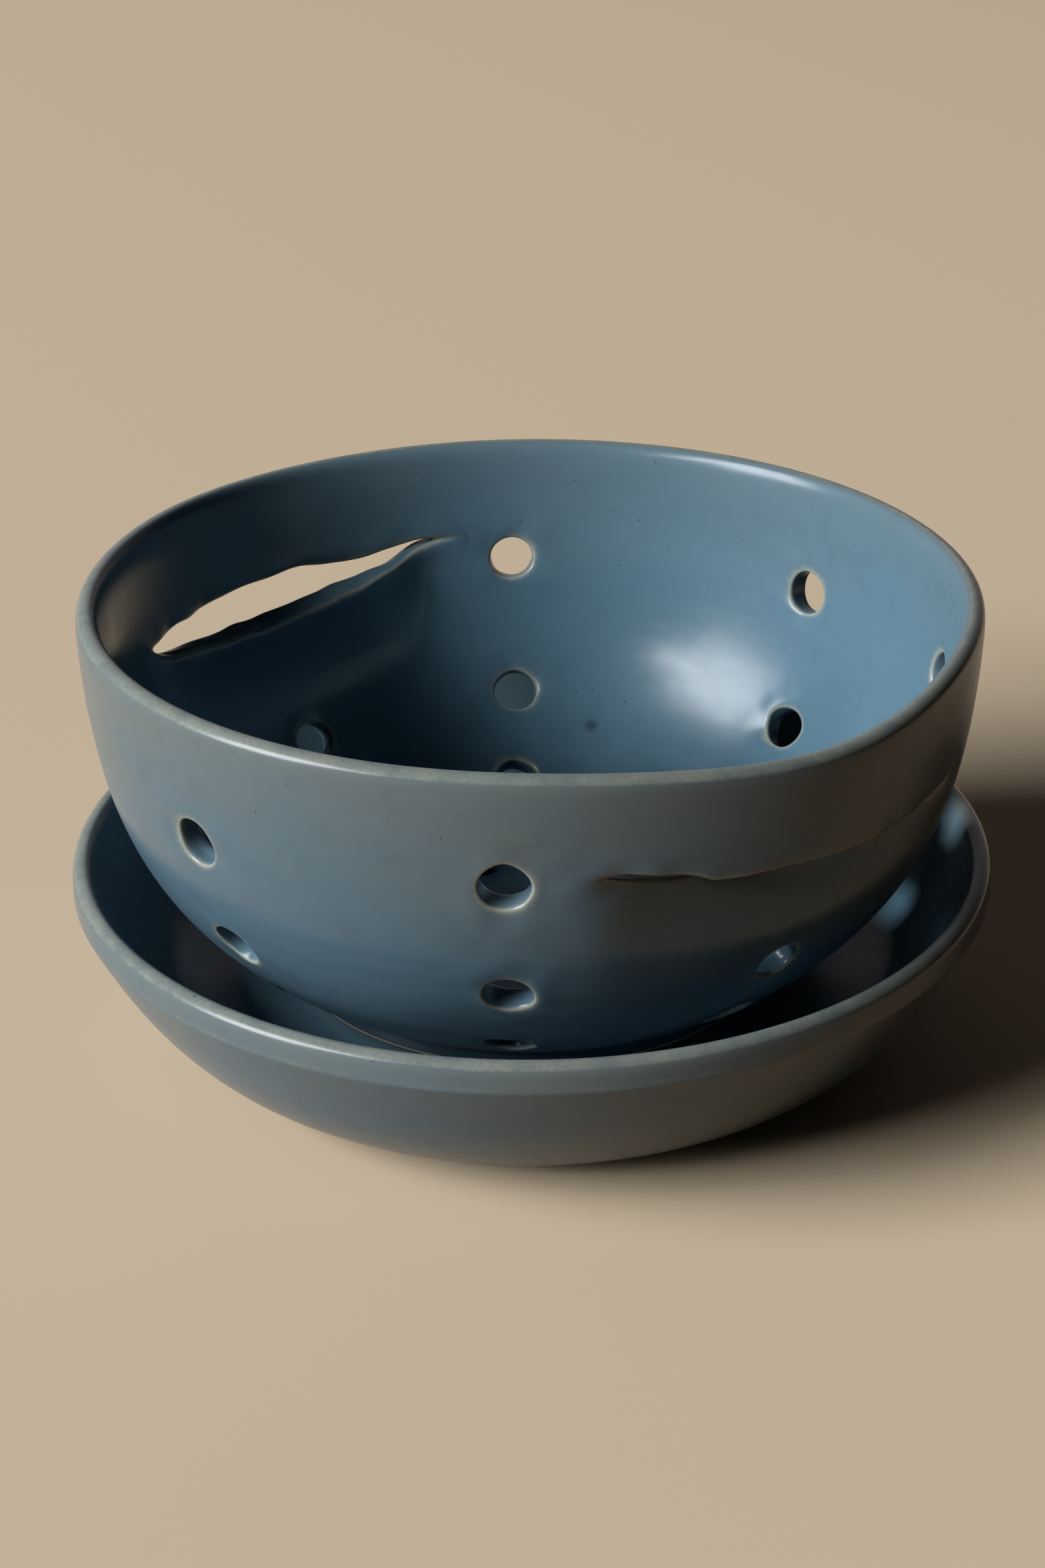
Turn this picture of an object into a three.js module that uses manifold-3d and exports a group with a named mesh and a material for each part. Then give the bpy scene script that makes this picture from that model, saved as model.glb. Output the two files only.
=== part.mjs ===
// Berry bowl: a wheel-thrown colander bowl that stands loose in its own drip saucer.
// Millimetres, +Z up, origin on the table under the middle of the saucer.
// Angles are in degrees about +Z: -90 is the front, and they grow to the right as seen from outside.

import * as THREE from 'three';
import { mergeVertices } from 'three/addons/utils/BufferGeometryUtils.js';
import Module from 'manifold-3d';

const wasm = await Module();
wasm.setup();

// Bowl
const BOWL_RIM_RADIUS = 83.1;
const BOWL_HEIGHT = 75.6;
const BOWL_LIP = 4.6;
const BOWL_WALL = 4.8;
const BOWL_FLOOR = 5.6;
const BOWL_FLOOR_SWEEP = 12;
const BOWL_FOOT_RADIUS = 46.2;
const BOWL_FOOT_WIDTH = 6.5;
const BOWL_FOOT_HEIGHT = 4.0;
const BOWL_FOOT_EDGE = 0.8;
// How full the wall's outer curve is: its two handles, as shares of its span inwards and downwards
const BOWL_BELLY = { upper: [0.033, 0.464], lower: [0.197, 0.761] };

// Saucer
const SAUCER_OVERHANG = 3.9;
const SAUCER_HEIGHT = 38.5;
const SAUCER_LIP = 4.2;
const SAUCER_BAND = 3.2;
const SAUCER_WALL = 5.0;
const SAUCER_FLOOR = 7.2;
const SAUCER_FLOOR_SWEEP = 8;
const SAUCER_FOOT_RADIUS = 54;
const SAUCER_FOOT_WIDTH = 6.5;
const SAUCER_FOOT_HEIGHT = 1.8;
const SAUCER_FOOT_HOLLOW = 6.4;
const SAUCER_FOOT_EDGE = 0.6;
const SAUCER_BELLY = { upper: [0.18, 0.38], lower: [0.47, 0.92] };

// The bowl's foot stands this far above the saucer's floor, so that the two pieces only just part.
const SEAT_GAP = 0.3;

// Finger-grip handles: a slit under the rim, with the wall below it pressed inwards
const SLIT_LENGTH = 85;
const SLIT_FALL = 3.8;
const SLIT_WIDTH = 1.2;
const PRESS_REACH = 34;
const PRESS_SWELL = 0.6;
const PULL_SPREAD = 33;
const PULL_FADE = 30;
// Each handle is cut, pressed and pulled by hand, so its slit depth, its rim's bulge and dip, its press, and the
// nib where its two cuts met are its own. The press runs between two places along the slit, and a larger taper
// makes it fade sooner towards the left or right one.
const HANDLES = [
  {
    centre: -53,
    slitDepth: 20.8,
    bulge: 2.1,
    dip: 2.6,
    press: { depth: 12, drop: 2, left: -41, right: 41, leftTaper: 0.8, rightTaper: 1.6 },
    nib: { place: -22.5, height: 1.2, leftSpread: 2.5, rightSpread: 7.5 },
  },
  {
    centre: 133,
    slitDepth: 22,
    bulge: 3.3,
    dip: 1.4,
    press: { depth: 11.4, drop: 1, left: -36, right: 41, leftTaper: 0.45, rightTaper: 0.7 },
    nib: { place: -22, height: 1.9, leftSpread: 10, rightSpread: 8 },
  },
];

// Drain holes: columns round the wall and a small ring through the floor
const DRAIN_DIAMETER = 8.6;
const TOP_ROW_DEPTH = 24.2;
const LOW_ROW_RISE = 12.4;
const MIDDLE_ROW_SHARE = 0.58;
const FLOOR_RING_RADIUS = 22;
const FLOOR_RING_COUNT = 6;
// Every hole is drilled by eye: each column lists the angle of its top, middle and low hole,
// and how far that hole stands above its row. The slits leave no top hole under the handles.
const DRAIN_COLUMNS = [
  [{ angle: -93.1, lift: 3.7 }, { angle: -93.1, lift: 2.0 }, { angle: -94, lift: 0.4 }],
  [{ angle: -135, lift: 0.2 }, { angle: -135, lift: 0.2 }, { angle: -135, lift: 0 }],
  [{ angle: -173, lift: 0 }, { angle: -173, lift: 0 }, { angle: -173, lift: 0 }],
  [null, { angle: 133.5, lift: -7.5 }, { angle: 133.5, lift: -3.5 }],
  [{ angle: 92.8, lift: -1 }, { angle: 92.8, lift: -5.8 }, { angle: 93.5, lift: -4 }],
  [{ angle: 43, lift: 0.3 }, { angle: 40, lift: -4.3 }, { angle: 40, lift: -2.5 }],
  [{ angle: 4, lift: 2.5 }, { angle: 4, lift: 0 }, { angle: 4, lift: 0 }],
  [null, { angle: -54, lift: 0 }, { angle: -54, lift: 0 }],
];

// Smoothness
const BOWL_SEGMENTS = 72;
const SAUCER_SEGMENTS = 60;
const BELLY_STEPS = 10;
const LIP_STEPS = 4;
const SWEEP_STEPS = 3;
const SLIT_STEPS = 26;
const DRAIN_SIDES = 14;

// Working limits: points closer than this are one point, and a bit reaches this many walls past its middle
const MERGE_DISTANCE = 1e-4;
const SHARE_STEP = 1e-4;
const BIT_REACH = 2;

const GLAZE = { color: 0x5d7480, roughness: 0.42, metalness: 0 };

// Turns a closed three.js geometry into a solid that can be cut.
function solidFrom(geometry) {
  geometry.deleteAttribute('normal');
  geometry.deleteAttribute('uv');
  const merged = mergeVertices(geometry, MERGE_DISTANCE);
  const corners = merged.index.array;
  const triangles = [];
  for (let i = 0; i < corners.length; i += 3) {
    const [a, b, c] = corners.slice(i, i + 3);
    if (a !== b && b !== c && c !== a) triangles.push(a, b, c);
  }
  return new wasm.Manifold(new wasm.Mesh({
    numProp: 3,
    vertProperties: new Float32Array(merged.attributes.position.array),
    triVerts: new Uint32Array(triangles),
  }));
}

// Turns a solid back into a three.js geometry, moving each vertex if a function is given.
function geometryFrom(solid, move = null) {
  const mesh = solid.getMesh();
  const points = new Float32Array(mesh.vertProperties);
  if (move) {
    const vertex = new THREE.Vector3();
    for (let i = 0; i < points.length; i += 3) {
      move(vertex.fromArray(points, i)).toArray(points, i);
    }
  }
  const geometry = new THREE.BufferGeometry();
  geometry.setAttribute('position', new THREE.BufferAttribute(points, 3));
  geometry.setIndex(new THREE.BufferAttribute(new Uint32Array(mesh.triVerts), 1));
  geometry.computeVertexNormals();
  return geometry;
}

// Revolves an outline of (radius, height) points about +Z.
function thrown(outline, segments) {
  return new THREE.LatheGeometry(outline, segments).rotateX(Math.PI / 2);
}

// A belly curve falls from the point under a lip to the top of a foot ring.
function bellyCurve(top, bottom, belly) {
  const handle = ([inwards, downwards]) => new THREE.Vector2(
    THREE.MathUtils.lerp(top.x, bottom.x, inwards),
    THREE.MathUtils.lerp(top.y, bottom.y, downwards),
  );
  return new THREE.CubicBezierCurve(top, handle(belly.upper), handle(belly.lower), bottom);
}

// The wall's inside face: the belly curve set back by the wall, swept into the floor and on to the middle
function insideOf(curve, wall, floorHeight, sweep) {
  const inside = [];
  for (let i = 1; i <= BELLY_STEPS; i += 1) {
    const share = i / BELLY_STEPS;
    const along = curve.getTangent(share);
    inside.push(curve.getPoint(share).add(new THREE.Vector2(along.y, -along.x).multiplyScalar(wall)));
  }
  const headroom = wall / 4;
  const clear = inside.filter((point) => point.y > floorHeight + headroom);
  const [above, last] = clear.slice(-2);
  const reach = (floorHeight - last.y) / (last.y - above.y);
  const corner = last.clone().lerp(above, -reach);
  const floorEdge = new THREE.Vector2(corner.x - sweep, floorHeight);
  const swept = new THREE.QuadraticBezierCurve(last, corner, floorEdge).getPoints(SWEEP_STEPS);
  return [...clear, ...swept.slice(1), new THREE.Vector2(0, floorHeight)];
}

// A rounded lip from its outer side over the top to its inner side.
function lipOver(outerRadius, top, width) {
  const half = width / 2;
  return new THREE.EllipseCurve(outerRadius - half, top - half, half, half, 0, Math.PI).getPoints(LIP_STEPS);
}

// A foot ring from the hollow under the floor, round its standing face, to the top of its outer side.
function footRing({ radius, width, hollow, height, edge }) {
  return [
    new THREE.Vector2(0, hollow),
    new THREE.Vector2(radius - width - edge, hollow),
    new THREE.Vector2(radius - width, edge),
    new THREE.Vector2(radius - width + edge, 0),
    new THREE.Vector2(radius - edge, 0),
    new THREE.Vector2(radius, edge),
    new THREE.Vector2(radius, height),
  ];
}

// Saucer outline and the height of its floor
const saucerRimRadius = BOWL_RIM_RADIUS + SAUCER_OVERHANG;
const saucerFloorHeight = SAUCER_FOOT_HOLLOW + SAUCER_FLOOR;
const saucerBandFoot = SAUCER_HEIGHT - SAUCER_LIP / 2 - SAUCER_BAND;
const saucerBelly = bellyCurve(
  new THREE.Vector2(saucerRimRadius, saucerBandFoot),
  new THREE.Vector2(SAUCER_FOOT_RADIUS + SAUCER_FOOT_EDGE, SAUCER_FOOT_HEIGHT),
  SAUCER_BELLY,
);

function dripSaucer() {
  const foot = {
    radius: SAUCER_FOOT_RADIUS,
    width: SAUCER_FOOT_WIDTH,
    hollow: SAUCER_FOOT_HOLLOW,
    height: SAUCER_FOOT_HEIGHT,
    edge: SAUCER_FOOT_EDGE,
  };
  const outline = [
    ...footRing(foot),
    ...saucerBelly.getPoints(BELLY_STEPS).reverse(),
    ...lipOver(saucerRimRadius, SAUCER_HEIGHT, SAUCER_LIP),
    ...insideOf(saucerBelly, SAUCER_WALL, saucerFloorHeight, SAUCER_FLOOR_SWEEP),
  ];
  return geometryFrom(solidFrom(thrown(outline, SAUCER_SEGMENTS)));
}

// Bowl outline, in its own frame with its foot at height 0
const bowlFloorHeight = BOWL_FOOT_HEIGHT + BOWL_FLOOR;
const bowlBelly = bellyCurve(
  new THREE.Vector2(BOWL_RIM_RADIUS, BOWL_HEIGHT - BOWL_LIP / 2),
  new THREE.Vector2(BOWL_FOOT_RADIUS + BOWL_FOOT_EDGE, BOWL_FOOT_HEIGHT),
  BOWL_BELLY,
);

function bowlBlank() {
  const foot = {
    radius: BOWL_FOOT_RADIUS,
    width: BOWL_FOOT_WIDTH,
    hollow: BOWL_FOOT_HEIGHT,
    height: BOWL_FOOT_HEIGHT,
    edge: BOWL_FOOT_EDGE,
  };
  const outline = [
    ...footRing(foot),
    ...bowlBelly.getPoints(BELLY_STEPS).reverse(),
    ...lipOver(BOWL_RIM_RADIUS, BOWL_HEIGHT, BOWL_LIP),
    ...insideOf(bowlBelly, BOWL_WALL, bowlFloorHeight, BOWL_FLOOR_SWEEP),
  ];
  return solidFrom(thrown(outline, BOWL_SEGMENTS));
}

// Distance round the rim from a handle's middle, growing to the right as seen from outside
function alongRim(handle, x, y) {
  const turn = Math.atan2(y, x) - THREE.MathUtils.degToRad(handle.centre);
  return Math.atan2(Math.sin(turn), Math.cos(turn)) * BOWL_RIM_RADIUS;
}

// The slit falls evenly from its left end to its right end.
function slitHeight(handle, along) {
  const share = THREE.MathUtils.clamp(along / SLIT_LENGTH, -0.5, 0.5);
  return BOWL_HEIGHT - handle.slitDepth - SLIT_FALL * share;
}

class SlitPath extends THREE.Curve {
  constructor(handle) {
    super();
    this.handle = handle;
  }

  getPoint(share, target = new THREE.Vector3()) {
    const along = (share - 0.5) * SLIT_LENGTH;
    const angle = THREE.MathUtils.degToRad(this.handle.centre) + along / BOWL_RIM_RADIUS;
    const radius = BOWL_RIM_RADIUS - BOWL_WALL / 2;
    return target.set(radius * Math.cos(angle), radius * Math.sin(angle), slitHeight(this.handle, along));
  }
}

// The blade's section: as high as the slit and long enough to run through the wall
function slitBlade(handle) {
  const half = SLIT_WIDTH / 2;
  const through = BIT_REACH * BOWL_WALL;
  const section = new THREE.Shape([
    new THREE.Vector2(-half, -through),
    new THREE.Vector2(half, -through),
    new THREE.Vector2(half, through),
    new THREE.Vector2(-half, through),
  ]);
  const settings = { steps: SLIT_STEPS, bevelEnabled: false, extrudePath: new SlitPath(handle) };
  return solidFrom(new THREE.ExtrudeGeometry(section, settings));
}

// The share of a handle's press along its slit: nothing at its two ends and all of it in their middle
function pressShare({ left, right, leftTaper, rightTaper }, along) {
  const aside = (2 * along - left - right) / (right - left);
  const taper = aside > 0 ? rightTaper : leftTaper;
  return Math.cos(Math.min(1, Math.abs(aside)) * Math.PI / 2) ** taper;
}

// The place on the belly curve at one height
function bellyShareAt(height) {
  let low = 0;
  let high = 1;
  while (high - low > SHARE_STEP) {
    const middle = (low + high) / 2;
    if (bowlBelly.getPoint(middle).y > height) low = middle;
    else high = middle;
  }
  return low;
}

// How deep inside the wall a point of the blank lies
function depthInWall(radius, height) {
  const outside = bowlBelly.getPoint(bellyShareAt(height)).x;
  return THREE.MathUtils.clamp(outside - radius, 0, BOWL_WALL);
}

// The cut clay as the hands leave it: at each handle the rim is pulled out and down, and the wall
// below the slit is pressed in and leans with it.
function handled(vertex) {
  const radius = Math.hypot(vertex.x, vertex.y);
  if (radius === 0) return vertex;
  let outwards = 0;
  let upwards = 0;
  for (const handle of HANDLES) {
    const { press, nib } = handle;
    const along = alongRim(handle, vertex.x, vertex.y);
    const aboveSlit = vertex.z - slitHeight(handle, along);
    const nearSlit = THREE.MathUtils.smoothstep(aboveSlit, -PULL_FADE, 0);
    const pull = Math.exp(-((along / PULL_SPREAD) ** 2)) * nearSlit;
    outwards += handle.bulge * pull;
    upwards -= handle.dip * pull;
    if (aboveSlit < 0) {
      const share = pressShare(press, along);
      const fade = Math.max(0, 1 + aboveSlit / PRESS_REACH);
      const swell = 1 + PRESS_SWELL * (1 - fade);
      const lean = (fade * (2 * swell - fade * PRESS_SWELL)) / PRESS_REACH;
      outwards -= press.depth * share * fade ** 2 * swell;
      upwards -= press.drop * share * fade ** 2 * swell;
      upwards -= press.depth * share * lean * depthInWall(radius, vertex.z);
    } else {
      const past = along - nib.place;
      const spread = past < 0 ? nib.leftSpread : nib.rightSpread;
      upwards -= nib.height * Math.exp(-((past / spread) ** 2) - aboveSlit / nib.height);
    }
  }
  const scale = (radius + outwards) / radius;
  return vertex.set(vertex.x * scale, vertex.y * scale, vertex.z + upwards);
}

// A bit through a wall or a floor, about a point on it
function drill(centre, direction, thickness) {
  const radius = DRAIN_DIAMETER / 2;
  const bit = new THREE.CylinderGeometry(radius, radius, 2 * BIT_REACH * thickness, DRAIN_SIDES);
  bit.applyQuaternion(new THREE.Quaternion().setFromUnitVectors(new THREE.Vector3(0, 1, 0), direction));
  return solidFrom(bit.translate(centre.x, centre.y, centre.z));
}

// A hole square to the wall at one angle and height
function wallHole(angle, height) {
  const share = bellyShareAt(height);
  const spot = bowlBelly.getPoint(share);
  const along = bowlBelly.getTangent(share);
  const turn = THREE.MathUtils.degToRad(angle);
  const around = (out, up) => new THREE.Vector3(out * Math.cos(turn), out * Math.sin(turn), up);
  return drill(handled(around(spot.x, spot.y)), around(-along.y, along.x), BOWL_WALL);
}

function drainHoles() {
  const topRow = BOWL_HEIGHT - TOP_ROW_DEPTH;
  const middleRow = THREE.MathUtils.lerp(topRow, LOW_ROW_RISE, MIDDLE_ROW_SHARE);
  const rows = [topRow, middleRow, LOW_ROW_RISE];
  const holes = [];
  for (const column of DRAIN_COLUMNS) {
    column.forEach((hole, i) => {
      if (hole) holes.push(wallHole(hole.angle, rows[i] + hole.lift));
    });
  }
  const up = new THREE.Vector3(0, 0, 1);
  const floorMiddle = bowlFloorHeight - BOWL_FLOOR / 2;
  holes.push(drill(new THREE.Vector3(0, 0, floorMiddle), up, BOWL_FLOOR));
  for (let i = 0; i < FLOOR_RING_COUNT; i += 1) {
    const turn = (2 * Math.PI * i) / FLOOR_RING_COUNT;
    const spot = new THREE.Vector3(Math.cos(turn), Math.sin(turn), 0).multiplyScalar(FLOOR_RING_RADIUS);
    holes.push(drill(spot.setZ(floorMiddle), up, BOWL_FLOOR));
  }
  return holes;
}

// Thrown, slit, pressed and drilled, in the order that the clay is worked
function colanderBowl() {
  let clay = bowlBlank();
  for (const handle of HANDLES) clay = clay.subtract(slitBlade(handle));
  clay = solidFrom(geometryFrom(clay, handled));
  for (const hole of drainHoles()) clay = clay.subtract(hole);
  return geometryFrom(clay);
}

function piece(name, geometry) {
  const mesh = new THREE.Mesh(geometry, new THREE.MeshStandardMaterial(GLAZE));
  mesh.name = name;
  return mesh;
}

const berryBowl = new THREE.Group();
berryBowl.add(piece('drip_saucer', dripSaucer()));

const bowl = piece('colander_bowl', colanderBowl());
bowl.position.z = saucerFloorHeight + SEAT_GAP;
berryBowl.add(bowl);

export default berryBowl;
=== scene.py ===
"""Berry bowl: a wheel-thrown colander bowl that stands loose in its drip saucer, both glazed slate blue.

Metres, +Z up, origin on the floor under the middle of the saucer. Angles run about +Z from +X: the front
is at -90 degrees, and they grow to the right on any side that is seen from outside.
"""

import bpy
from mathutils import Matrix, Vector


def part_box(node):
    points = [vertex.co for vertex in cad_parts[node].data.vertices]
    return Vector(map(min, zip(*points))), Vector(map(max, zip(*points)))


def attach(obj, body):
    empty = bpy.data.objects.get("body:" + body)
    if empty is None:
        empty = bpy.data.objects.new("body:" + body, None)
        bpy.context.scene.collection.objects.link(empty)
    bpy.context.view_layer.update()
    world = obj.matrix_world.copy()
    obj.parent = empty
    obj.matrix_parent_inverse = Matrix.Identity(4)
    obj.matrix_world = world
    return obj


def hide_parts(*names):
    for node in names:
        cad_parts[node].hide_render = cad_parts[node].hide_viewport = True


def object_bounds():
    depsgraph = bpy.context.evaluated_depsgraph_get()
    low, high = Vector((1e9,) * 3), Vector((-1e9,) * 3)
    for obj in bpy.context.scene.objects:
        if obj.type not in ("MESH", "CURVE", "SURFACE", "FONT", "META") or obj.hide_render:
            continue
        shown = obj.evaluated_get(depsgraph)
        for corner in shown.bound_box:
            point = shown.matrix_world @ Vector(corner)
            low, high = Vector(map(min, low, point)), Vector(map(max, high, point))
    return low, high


bl_info = {
    "name": "Berry bowl",
    "version": (1, 0, 0),
    "blender": (4, 5, 0),
    "location": "3D View > Sidebar > Berry bowl",
    "description": "Throws a colander bowl with finger slits and its drip saucer, and glazes both",
    "category": "Add Mesh",
}

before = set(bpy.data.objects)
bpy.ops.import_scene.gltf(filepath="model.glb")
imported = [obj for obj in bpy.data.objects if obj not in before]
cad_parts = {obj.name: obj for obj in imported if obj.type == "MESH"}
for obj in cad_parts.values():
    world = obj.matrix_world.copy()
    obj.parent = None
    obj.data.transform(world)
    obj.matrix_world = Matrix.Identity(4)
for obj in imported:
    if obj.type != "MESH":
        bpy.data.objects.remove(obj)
CAD_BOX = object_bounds()

import math
from functools import partial
from typing import NamedTuple

import bmesh
import bpy
from bpy.props import FloatProperty, FloatVectorProperty, PointerProperty
from mathutils import Matrix, Vector, noise

MM = 0.001
SAUCER_LOW, SAUCER_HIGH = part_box("drip_saucer")
BOWL_LOW, BOWL_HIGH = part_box("colander_bowl")

# Cage density: each cage face becomes sixteen under two levels of subdivision
BOWL_SEGMENTS = 90
SAUCER_SEGMENTS = 72
WALL_ROWS = 16
SAUCER_ROWS = 10
LIP_ANGLES = [math.radians(angle) for angle in (30, 60, 80, 108, 144)]
SWEEP_STEPS = 3
SAUCER_FLOOR_PARTS = (0.67, 0.33, 0.0)
SAUCER_HOLLOW_PARTS = (0.0, 0.5)
BEVEL_SEGMENTS = 2
SMOOTH_LEVELS = 2

# How finely a wall's curve is measured, and the share of its thickness by which its inside clears the floor
SHARE_STEP = 1e-4
SPEED_STEP = 0.01
LENGTH_SAMPLES = 400
CLEAR_OF_FLOOR = 0.25
MERGE_DISTANCE = 0.01 * MM

# Kinds of cut edges; a plain one is left to the subdivision's own rounding
PLAIN_EDGE = 0
HOLE_EDGE = 1
SLIT_EDGE = 2

# How thin the glaze runs, from 0 to 1: beside a cut edge, on the lips and under the saucer's band
EDGE_THINNESS = 0.45
LIP_THINNESS = 0.64
BREAK_THINNESS = 0.5

# How uneven the sponge leaves a cut edge, over what length, and the seed of it
WOBBLE = 0.42 * MM
WOBBLE_SIZE = 6 * MM
WOBBLE_SEED = 7

# Patterns of the finishes: patches by their size, and dots by their spacing, their size and the share kept
CLOUDS = {"size": 26 * MM, "detail": 2.0, "stretch": (1.0, 1.0, 1.6)}
MOTTLE = {"size": 5 * MM, "detail": 3.0}
GRAIN = {"size": 0.7 * MM, "detail": 2.0}
THROWING_RINGS = {"size": 40 * MM, "detail": 1.0, "stretch": (1.0, 1.0, 6.0)}
SPECKS = {"spacing": 3.1 * MM, "size": 0.42 * MM, "kept": 0.4}
FLECKS = {"spacing": 11 * MM, "size": 0.45 * MM, "kept": 0.2}
CLAY_MOTTLE = {"size": 3 * MM, "detail": 4.0}
CLAY_GRAIN = {"size": 0.5 * MM, "detail": 3.0}
CLAY_SPECKS = {"spacing": 2.2 * MM, "size": 0.5 * MM, "kept": 0.5}
FLOOR_MOTTLE = {"size": 40 * MM, "detail": 3.0}

# The middle of a noise, the least and the varying part of a dot's size, a dot's soft rim, and how sharply
# a share of the dots is kept
NOISE_MIDDLE = 0.5
DOT_LEAST = 0.4
DOT_VARIES = 0.8
DOT_RIM = (1.15, 0.75)
CHANCE_BLUR = 0.005

# Where the glaze turns misty towards a rim, and where it pools and darkens towards a foot as pooled glaze
# and painted shade, in shares of the pot's height, how far the clouds shift both, and how much of the mist
# is missing inside, where the bluer inside is painted light
MIST_RISE = (0.45, 1.05)
POOL_AND_SHADE_RISE = (0.4, -0.05)
CLOUD_SHIFT = 0.5
MIST_LOST_INSIDE = 0.6

# A soft spot inside the bowl where the glaze pooled
POOLED_SPOT = Vector((12.6, 59.4, 34.3)) * MM
POOLED_SPOT_REACH = 2.2 * MM

# The mottle that stains the glaze, the thinness at which it breaks to the clay, and what frays that break
STAIN_RISE = (0.5, 0.8)
BREAK_RISE = (0.42, 1.0)
MOTTLE_FRAY = 0.4
GRAIN_FRAY = 0.25

# How far each layer covers the glaze
POOL_AND_SHADE_COVER = 0.72
STAIN_COVER = 0.1
SPOT_COVER = 0.8
EDGE_COVER = 0.8
SPECK_COVER = 0.7
FLECK_COVER = 0.8

# The glaze's gloss, and the heights of its relief
GLAZE_IOR = 1.36
GLAZE_ROUGHNESS = 0.25
MOTTLE_ROUGHNESS = 0.1
GRAIN_ROUGHNESS = 0.08
RING_RELIEF = 0.14 * MM
MOTTLE_RELIEF = 0.012 * MM
GRAIN_RELIEF = 0.003 * MM
PINHOLE_DEPTH = 0.03 * MM

# The bare clay's and the floor's finish
CLAY_PALE_RISE = (0.4, 0.7)
CLAY_PALE_COVER = 0.5
CLAY_SPECK_COVER = 0.6
CLAY_ROUGHNESS = 0.8
CLAY_ROUGHNESS_VARIES = 0.2
CLAY_RELIEF = 0.05 * MM
FLOOR_ROUGHNESS = 0.75
FLOOR_ROUGHNESS_VARIES = 0.05

# The stage: its floor, its lights' settings, where its soft light changes, and its camera
FLOOR_REACH = 24.0
FLOOR_GRID = 4
LIGHT_SIZES = ("azimuth", "rise", "width", "height", "power")
NEAR_TO_FAR = (-1.0, 0.2)
BACK_LIGHT_EDGE = (0.5, 0.95)
SENSOR_MM = 36
CLIP_START = 10 * MM

# The numbers of a colour Mix node's sockets
MIX_FACTOR, MIX_FIRST, MIX_SECOND, MIX_RESULT = 0, 6, 7, 2


class Handle(NamedTuple):
    """What the hands did at one slit; places along the rim are measured from the slit's middle."""

    centre: float  # angle of the slit's middle
    depth: float  # depth of the slit under the rim
    bulge: float  # how far the rim is pulled out
    dip: float  # how far it is pulled down
    press: float  # how far the wall below is pressed in
    drop: float  # how far it is pushed down
    pressed: tuple  # where the press begins and ends
    tapers: tuple  # how steeply it fades towards each of those
    nib: float  # how far the point hangs where two cuts met
    nib_place: float  # where it is
    nib_spreads: tuple  # how far it reaches to each side


HANDLES = (
    Handle(
        centre=math.radians(-53), depth=20.8 * MM, bulge=2.1 * MM, dip=2.6 * MM,
        press=12.0 * MM, drop=2.0 * MM, pressed=(-41 * MM, 41 * MM), tapers=(0.8, 1.6),
        nib=1.2 * MM, nib_place=-22.5 * MM, nib_spreads=(2.5 * MM, 7.5 * MM),
    ),
    Handle(
        centre=math.radians(133), depth=22.0 * MM, bulge=3.3 * MM, dip=1.4 * MM,
        press=11.4 * MM, drop=1.0 * MM, pressed=(-36 * MM, 41 * MM), tapers=(0.45, 0.7),
        nib=1.9 * MM, nib_place=-22 * MM, nib_spreads=(10 * MM, 8 * MM),
    ),
)

# The drain holes in columns of (degrees, millimetres above the row), from the top hole down; a column
# under a handle has no top hole
DRAIN_COLUMNS = (
    ((-93.1, 3.7), (-93.1, 2.0), (-94.0, 0.4)),
    ((-135.0, 0.2), (-135.0, 0.2), (-135.0, 0.0)),
    ((-173.0, 0.0), (-173.0, 0.0), (-173.0, 0.0)),
    (None, (133.5, -7.5), (133.5, -3.5)),
    ((92.8, -1.0), (92.8, -5.8), (93.5, -4.0)),
    ((43.0, 0.3), (40.0, -4.3), (40.0, -2.5)),
    ((4.0, 2.5), (4.0, 0.0), (4.0, 0.0)),
    (None, (-54.0, 0.0), (-54.0, 0.0)),
)
FLOOR_RING_HOLES = 6


def number(name, description, default, **limits):
    """A setting of one number."""
    return FloatProperty(name=name, description=description, default=default, **limits)


def numbers(name, description, default, **limits):
    """A setting of several numbers."""
    limits["size"] = len(default)
    return FloatVectorProperty(name=name, description=description, default=default, **limits)


def length(name, description, metres):
    return number(name, description, metres, min=0.0, precision=4, unit="LENGTH")


def share(name, description, default):
    return number(name, description, default, min=0.0, max=1.0, subtype="FACTOR")


def power(name, description, watts):
    return number(name, description, watts, min=0.0, unit="POWER")


def turn(name, description, degrees):
    return number(name, description, math.radians(degrees), subtype="ANGLE")


def fullness(name, description, shares):
    return numbers(name, description, shares, min=0.0, max=1.0)


def linear(level):
    """A display level from 0 to 1 as linear light, by the sRGB formula."""
    return level / 12.92 if level <= 0.04045 else ((level + 0.055) / 1.055) ** 2.4


def colour(name, description, *levels):
    """A colour property whose default is given in 0 to 255 display levels."""
    default = [linear(level / 255) for level in levels]
    return numbers(name, description, default, min=0.0, max=1.0, subtype="COLOR")


class BowlSizes(bpy.types.PropertyGroup):
    """Sizes of the colander bowl."""

    rim_radius: length("Rim radius", "Outer radius of the rim away from the handles", 83.1 * MM)
    lip: length("Lip", "Thickness of the rounded lip", 4.6 * MM)
    lip_roll: length("Lip roll", "How far the lip's inner side takes to round over", 4.6 * MM)
    wall: length("Wall", "Thickness of the wall", 4.8 * MM)
    floor: length("Floor", "Thickness of the floor", 5.6 * MM)
    sweep: length("Floor sweep", "Width of the curve from the wall into the floor", 12 * MM)
    foot_radius: length("Foot radius", "Outer radius of the foot ring", 46.2 * MM)
    foot_width: length("Foot width", "Width of the foot ring", 6.5 * MM)
    foot_height: length("Foot height", "Height of the foot ring", 4 * MM)
    foot_edge: length("Foot edge", "Softened edge of the foot ring", 0.8 * MM)
    upper: fullness("Upper fullness", "Belly curve's upper handle, inwards and downwards", (0.033, 0.464))
    lower: fullness("Lower fullness", "Belly curve's lower handle, inwards and downwards", (0.197, 0.761))


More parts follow.
